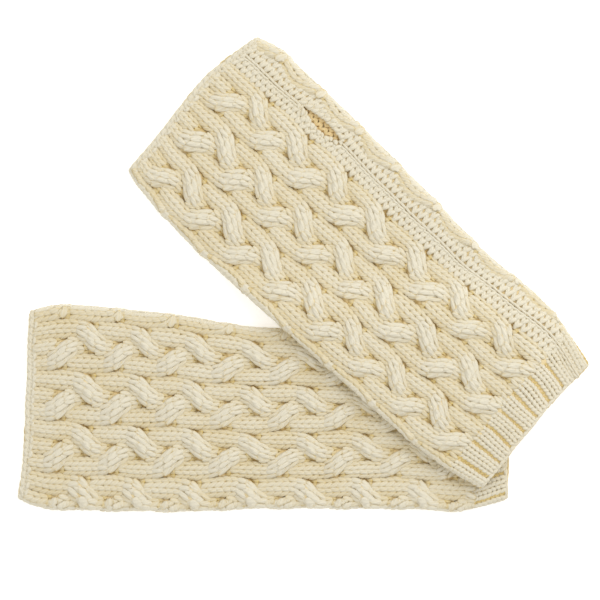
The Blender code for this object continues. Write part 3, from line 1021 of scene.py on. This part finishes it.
# %% The bands beside the seam, and the seam
SEAM_HALF = 1.45
LIP = 3.0  # width of the rolled edge of the slit
LIP_OVERLAP = 0.8
ROW = 4.15  # from one row of the body to the next, about
BAND_WALES = 2
BAND_REACH = 0.75  # the yarn of a wale goes this far past its lines
BAND_NAMES = {1: "outer", -1: "inner"}
PURL = {
    "Bow": 0.35 * MM, "Dip": 0.45 * MM, "Taper": 0.3, "Points": 6, "Sides": 6, "Unevenness": 0.1,
}


def beside_slit(along):
    """0 away from the slit and 1 beside it."""
    return smooth((along - SLIT_START) / 4 + 1) * smooth((SLIT_END - along) / 4 + 1)


def band_lines(mitten, along, side):
    """The low and the high line of the outer (1) or the inner (-1) purl band."""
    seam, slit = seam_line(mitten, along), slit_line(mitten, along)
    keep = beside_slit(along) * (slit_opening(along, side) + LIP - LIP_OVERLAP)
    if side > 0:
        rope = lines_round(mitten, along)[-1] + fold_starts(mitten, along)[2]
        return np.maximum(seam + SEAM_HALF, slit + keep), rope + 1.5
    return seam - INNER_BAND - 0.5, np.minimum(seam - SEAM_HALF, slit - keep)


def make_band(mitten, side):
    arms = Arms()
    rows, step = body_rows(mitten)
    low, high = band_lines(mitten, rows, side)
    for k in range(BAND_WALES):
        a, b = (low + (high - low) * line / BAND_WALES for line in (k, k + 1))
        height = pressed(mitten, rows, (a + b) / 2, 0.3) - YARN
        if side > 0:  # the wale beside the rope sinks behind it
            height = height - 0.5 * k
        lines = a - BAND_REACH, b + BAND_REACH
        lay_purls(arms, mitten, rows + 0.3 * k * step, step, *lines, height, 1.3, sink=0.25)
    return arms.piece(f"{mitten.name}_{BAND_NAMES[side]}_purls", purl_wool, **PURL)


def make_seam(mitten, first, last, name):
    arms = Arms()
    rows = np.arange(first, last, ROW)
    ends = (
        on_fabric(mitten, along, seam_line(mitten, along), 0.7, 0.9)
        for along in (rows + 3.0, rows - 2.4)
    )
    lay_vs(arms, mitten, *ends, (0, 1), (0.45, 1.0), 0.72, 0.72)
    mesh = {**FINE, "Bow": 0.25 * MM, "Dip": 0.7 * MM}
    return arms.piece(f"{mitten.name}_{name}", seam_wool, **mesh)


# %% The edges of the slit, and what shows through it
def make_lip(mitten, side):
    """The rolled edge of the slit on one side: thick stitches that wrap over it, standing proud."""
    arms = Arms()
    pitch = 4.4 if side > 0 else 5.2
    rows = np.arange(SLIT_START - 1.5, SLIT_END + 1.5, pitch)
    for inner, outer, back, ahead, tall, top in (
        (0.2, 3.0, -1.6, 1.4, 1.15, 1.5), (-0.2, 1.8, 0.4, 3.2, 0.9, 0.6),
    ):
        ends = []
        for along, off, drop in ((rows + back, inner, 0.5), (rows + ahead, outer, 0.1)):
            around = slit_line(mitten, along) + side * (slit_opening(along, side) + off)
            height = pressed(mitten, along, around, top) - YARN * tall - drop
            ends.append((along, around, height))
        lay_between(arms, mitten, *ends, (1, 0), tall * 1.1, tall)
    name = f"{mitten.name}_{BAND_NAMES[side]}_lip_roll"
    return arms.piece(name, seam_wool, **{**FINE, "Unevenness": 0.18, "Bow": 0.6 * MM})


def make_palm(mitten):
    """What shows through the slit: the purl side of the layer behind it."""
    arms = Arms()
    rows = np.arange(SLIT_START + 1, SLIT_END, ROW)
    middle = 2 * fold_starts(mitten, rows)[1] + FOLD_ARC - slit_line(mitten, rows)
    height = np.full_like(rows, -HALF - 0.7)
    for k in range(-2, 2):
        low, ahead = middle + k * 4.2, 0.3 * (k % 2)
        # painted shade on the palm's purls, down in the slit's hollow
        lay_purls(
            arms, mitten, rows + ahead, ROW, low, low + 4.4, height, 1.15, shade=0.3, inside=True
        )
    return arms.piece(f"{mitten.name}_palm_purls", inside_light_shade_wool, **{**PURL, "Points": 4, "Sides": 5})


bands, seams = {}, {}
for mitten in (upper, lower):
    for side, name in BAND_NAMES.items():
        bands[f"{mitten.name}_{name}_band"] = make_band(mitten, side)
        seams[f"{mitten.name}_{name}_lip"] = make_lip(mitten, side)
    for end, name, first, last in (
        ("fingers", "finger_seam", BORDER + 1.0, SLIT_START - 2),
        ("cuff", "cuff_seam", SLIT_END + 4, mitten.length - 1.5),
    ):
        seams[f"{mitten.name}_seam_to_{end}"] = make_seam(mitten, first, last, name)
    bands[f"{mitten.name}_palm"] = make_palm(mitten)

# %% The cast-off chain round the fingers
LINK = 4.5


def chain_round(arms, mitten, along, height, spread, pitch, wide, tall, top=0.0):
    """A chain of Vs that runs round the tube at one place along it."""
    whole = float(fold_starts(mitten, along)[2])
    count = round(whole / pitch)
    pitch = whole / count
    middle = seam_line(mitten, along) + pitch * np.arange(count)
    a = np.full_like(middle, along)
    level = pressed(mitten, a, middle, np.full_like(a, top)) + height
    ends = (a, middle - 0.62 * pitch, level), (a, middle + 0.5 * pitch, level)
    lay_vs(arms, mitten, *ends, (1, 0), spread, wide, tall)


def make_border(mitten):
    arms = Arms()
    chain_round(arms, mitten, 2.2, -YARN, (0.6, 1.3), LINK, 1.08, 1.0, top=1.0)
    chain_round(arms, mitten, 2.2, -YARN - 0.35, (0.0, 0.3), LINK / 2, 0.85, 0.9, top=1.0)
    chain_round(arms, mitten, 0.9, -2.7, (0.2, 0.5), LINK, 0.8, 1.2)
    mesh = {**FINE, "Bow": 0.6 * MM, "Unevenness": 0.12}
    return arms.piece(f"{mitten.name}_cast_off", rib_wool, **mesh)


# %% [markdown]
# ## The ribbed cuff
#
# Two knit stitches and one purl stitch by turns make the ribs. They are knitted on thinner
# needles than the body, so the stitches are smaller, and the purl ones sink out of sight.

# %% The cuff
RIB_ROW = 2.7
RIB_ROUND = 5.0


def make_cuff(mitten):
    arms = Arms()
    count = rib_count(mitten)
    rows = np.arange(mitten.length - CUFF - 2.2, mitten.length - 1.2, RIB_ROW)
    for rib in range(count):
        for wale, side in SIDES:
            ends = []
            for along, spread in ((rows + 0.68 * RIB_ROW, 0.25), (rows - 0.60 * RIB_ROW, 0.75)):
                width = fold_starts(mitten, along)[2] / count
                off = (wale + side * spread) * KNIT_SHARE / 4  # from the middle of the rib, in ribs
                around = seam_line(mitten, along) + (rib + 0.5 + off) * width
                top = RIB_TOP - RIB_ROUND * off * off
                ends.append(on_fabric(mitten, along, around, top, YARN * 0.8))
            lay_between(arms, mitten, *ends, (0, side), 1.12, 0.8)
        whole = fold_starts(mitten, rows)[2]
        groove = seam_line(mitten, rows) + rib * whole / count
        reach = whole / count * (1 - KNIT_SHARE) / 2 + 0.4
        height = pressed(mitten, rows, groove, RIB_GROOVE) - 0.5
        lines = groove - reach, groove + reach
        # the purl stitches in the grooves take strong painted shade
        lay_purls(arms, mitten, rows, RIB_ROW, *lines, height, 0.75, shade=0.9)
    chain_round(arms, mitten, mitten.length - 1.0, -1.1, (0.1, 0.5), 3.6, 0.62, 0.62, top=0.1)
    chain_round(arms, mitten, mitten.length - 0.8, -2.6, (0.1, 0.3), 3.6, 0.7, 0.9)
    return arms.piece(f"{mitten.name}_ribs", rib_wool, **{**FINE, "Dip": 0.6 * MM})


edges_made = {}
for mitten in (upper, lower):
    edges_made[f"{mitten.name}_finger_border"] = make_border(mitten)
    edges_made[f"{mitten.name}_rib_cuff"] = make_cuff(mitten)

# %% [markdown]
# ## The table, the light and the camera
#
# The mittens were photographed from straight above on a white surface, in soft light that comes
# mostly from the upper right. A long lens far away keeps the view nearly parallel.

# %% Table, light and camera
VIEW_WIDTH = 0.360  # what the picture spans
VIEW_CENTRE = (-0.0027, -0.0147)
CAMERA_HEIGHT = 3.0
SENSOR = 36

scene = bpy.context.scene
scene.view_settings.view_transform = "Standard"

white = bpy.data.materials.new("table white")
white.use_nodes = True
set_inputs(
    white.node_tree.nodes["Principled BSDF"], Base_Color=(0.96, 0.96, 0.96, 1), Roughness=0.9,
    Emission_Color=(1, 1, 1, 1), Emission_Strength=0.36,
)
table_mesh = bpy.data.meshes.new("table")
table_mesh.from_pydata([(-2, -2, 0), (2, -2, 0), (2, 2, 0), (-2, 2, 0)], [], [(0, 1, 2, 3)])
table_mesh.materials.append(white)
table = in_scene("table", table_mesh)

for name, place, size, power in (
    ("key", (0.65, 0.65, 0.87), 1.0, 7.1), ("fill", (-1.2, -0.3, 1.4), 1.6, 2.2),
):
    light = bpy.data.lights.new(name, "AREA")
    light.shape, light.size, light.energy = "SQUARE", size, power
    holder = in_scene(name, light)
    holder.location = place
    holder.rotation_euler = (-Vector(place)).to_track_quat("-Z", "Y").to_euler()

world = bpy.data.worlds.new("room")
scene.world = world
world.use_nodes = True
set_inputs(world.node_tree.nodes["Background"], Color=(1, 1, 1, 1), Strength=0.76)

lens = bpy.data.cameras.new("camera")
lens.sensor_width = SENSOR
lens.lens = SENSOR * CAMERA_HEIGHT / VIEW_WIDTH
lens.clip_end = 10
camera = in_scene("camera", lens)
camera.location = (*VIEW_CENTRE, CAMERA_HEIGHT)
scene.camera = camera

# %% Hand over
def hand_over(piece, slot, *nodes):
    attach(piece, "root")
    if nodes:
        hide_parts(*nodes)


for piece in plait.values():
    hand_over(piece, "plait_wool")
for mitten in ("upper", "lower"):
    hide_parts(f"{mitten}_front_panel")
    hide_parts(f"{mitten}_back_panel")
for group, slot in ((bands, "purl_wool"), (seams, "seam_wool"), (edges_made, "rib_wool")):
    for name, piece in group.items():
        hand_over(piece, slot, *([] if name.endswith("palm") else [name]))
for mitten in (upper, lower):
    ground = grounds[mitten.name]
    hand_over(ground, "plait_wool")
    whole = float(fold_starts(mitten, MIDWAY)[2])
